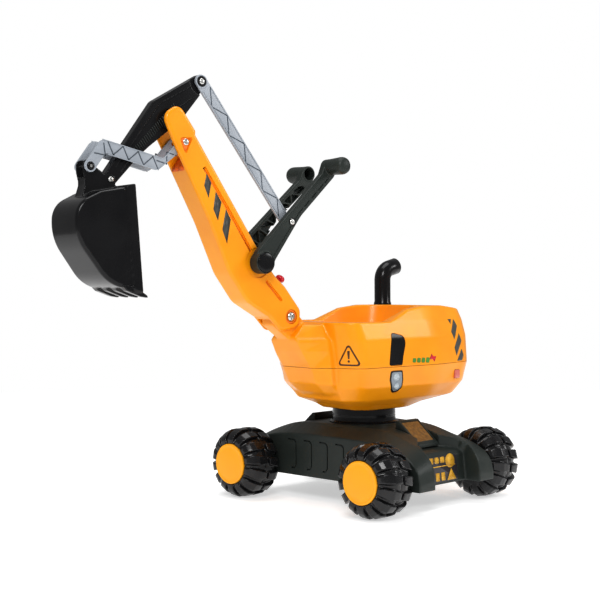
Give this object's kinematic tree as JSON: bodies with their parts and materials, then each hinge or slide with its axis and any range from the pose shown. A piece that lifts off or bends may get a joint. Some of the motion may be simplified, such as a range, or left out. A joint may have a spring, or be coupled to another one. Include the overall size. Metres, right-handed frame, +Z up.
{
  "type": "ride-on toy excavator",
  "caption": "Plastic ride-on toy excavator: wheeled chassis, slewing seat, hinged boom, dipper worked by two hand levers, and a curling bucket.",
  "frame": {"origin": "centre of the toy's bounding box, on the floor under the tyres", "axes": "+X forward along the boom from the seat, +Y to the driver's left, +Z up; the chassis is slewed 83.4 degrees to the right of the boom"},
  "size_m": [0.9302, 0.539, 0.8279],
  "materials": {
    "yellow_plastic": "glossy orange-yellow moulded plastic",
    "dark_plastic": "satin charcoal moulded plastic",
    "black_gloss": "glossy black moulded plastic",
    "silver_plastic": "silver-grey moulded plastic",
    "zinc_steel": "zinc-plated steel",
    "red_plastic": "glossy red moulded plastic",
    "lamp_grey": "printed grey lamp panel"
  },
  "bodies": {
    "chassis": {"chassis_frame": "dark_plastic", "turntable_collar": "black_gloss", "step_pad_front": "dark_plastic", "step_pad_rear": "dark_plastic", "front_axle": "zinc_steel", "rear_axle": "zinc_steel", "slew_bolt": "zinc_steel", "slew_nut": "zinc_steel", "push_nut_front_left": "zinc_steel", "push_nut_front_right": "zinc_steel", "push_nut_rear_left": "zinc_steel", "push_nut_rear_right": "zinc_steel"},
    "wheel_front_left": {"tyre_front_left": "black_gloss", "hub_cap_front_left": "yellow_plastic"},
    "wheel_front_right": {"tyre_front_right": "black_gloss", "hub_cap_front_right": "yellow_plastic"},
    "wheel_rear_left": {"tyre_rear_left": "black_gloss", "hub_cap_rear_left": "yellow_plastic"},
    "wheel_rear_right": {"tyre_rear_right": "black_gloss", "hub_cap_rear_right": "yellow_plastic"},
    "turret": {"turret_lower_shell": "yellow_plastic", "turret_upper_shell": "yellow_plastic", "exhaust_pipe": "black_gloss", "window_inset_left": "black_gloss", "window_inset_right": "black_gloss", "lamp_left": "lamp_grey", "lamp_right": "lamp_grey", "tail_reflector_left": "red_plastic", "tail_reflector_right": "red_plastic"},
    "boom": {"boom": "yellow_plastic", "boom_pivot_bolt": "zinc_steel", "boom_pivot_nut": "zinc_steel", "bucket_link_pivot_bolt": "zinc_steel", "bucket_link_pivot_nut": "zinc_steel", "dipper_pivot_pin": "zinc_steel"},
    "lock_button": {"lock_button": "red_plastic", "lock_spring": "zinc_steel"},
    "levers": {"lever_left": "dark_plastic", "lever_right": "dark_plastic", "lever_cap_left": "black_gloss", "lever_cap_right": "black_gloss", "lever_shaft": "zinc_steel", "link_lower_bolt": "zinc_steel", "link_lower_nut": "zinc_steel"},
    "control_link": {"control_link": "silver_plastic"},
    "dipper": {"dipper": "dark_plastic", "link_upper_bolt": "zinc_steel", "link_upper_nut": "zinc_steel"},
    "bucket_link": {"bucket_link_left": "silver_plastic", "bucket_link_right": "silver_plastic"},
    "bucket": {"bucket": "black_gloss", "bucket_pivot_bolt": "zinc_steel", "bucket_pivot_nut": "zinc_steel", "bucket_link_pin": "zinc_steel"}
  },
  "joints": [
    {"name": "wheel_front_left_spin", "type": "hinge", "parent": "chassis", "child": "wheel_front_left", "pos_m": [-0.02116, -0.15561, 0.07114], "axis": [0.9934, 0.1149, 0], "continuous": true},
    {"name": "wheel_front_right_spin", "type": "hinge", "parent": "chassis", "child": "wheel_front_right", "pos_m": [-0.38772, -0.19803, 0.07114], "axis": [0.9934, 0.1149, 0], "continuous": true},
    {"name": "wheel_rear_left_spin", "type": "hinge", "parent": "chassis", "child": "wheel_rear_left", "pos_m": [-0.06208, 0.19803, 0.07114], "axis": [0.9934, 0.1149, 0], "continuous": true},
    {"name": "wheel_rear_right_spin", "type": "hinge", "parent": "chassis", "child": "wheel_rear_right", "pos_m": [-0.42864, 0.15561, 0.07114], "axis": [0.9934, 0.1149, 0], "continuous": true},
    {"name": "turret_slew", "type": "hinge", "parent": "chassis", "child": "turret", "pos_m": [-0.2249, 0, 0.19], "axis": [0, 0, 1], "continuous": true},
    {"name": "boom_lift", "type": "hinge", "parent": "turret", "child": "boom", "pos_m": [-0.0114, 0, 0.376], "axis": [0, -1, 0], "range_deg": [-50, 5]},
    {"name": "lock_button_press", "type": "slide", "parent": "boom", "child": "lock_button", "axis": [-0.6429, 0, 0.7659], "range_m": [-0.004, 0], "stiffness_N_per_m": 500, "springref_m": 0.002},
    {"name": "dipper_swing", "type": "hinge", "parent": "boom", "child": "dipper", "pos_m": [0.2531, 0, 0.736], "axis": [0, -1, 0], "range_deg": [-8, 34]},
    {"name": "lever_swing", "type": "hinge", "parent": "boom", "child": "levers", "pos_m": [0.0688, 0, 0.4805], "axis": [0, -1, 0], "range_deg": [-8, 34]},
    {"name": "control_link_swing", "type": "hinge", "parent": "levers", "child": "control_link", "pos_m": [0.0003, 0, 0.5595], "axis": [0, -1, 0], "range_deg": [-34, 8]},
    {"name": "bucket_link_swing", "type": "hinge", "parent": "boom", "child": "bucket_link", "pos_m": [0.2309, 0, 0.6986], "axis": [0, -1, 0], "range_deg": [-8.3, 35.1]},
    {"name": "bucket_curl", "type": "hinge", "parent": "dipper", "child": "bucket", "pos_m": [0.3793, 0, 0.6237], "axis": [0, -1, 0], "range_deg": [-7.3, 30.7]}
  ],
  "couplings": [
    {"joint": "lever_swing", "follows": "dipper_swing", "ratio": 1},
    {"joint": "control_link_swing", "follows": "dipper_swing", "ratio": -1},
    {"joint": "bucket_link_swing", "follows": "dipper_swing", "ratio": 1.03},
    {"joint": "bucket_curl", "follows": "dipper_swing", "ratio": 0.9}
  ]
}
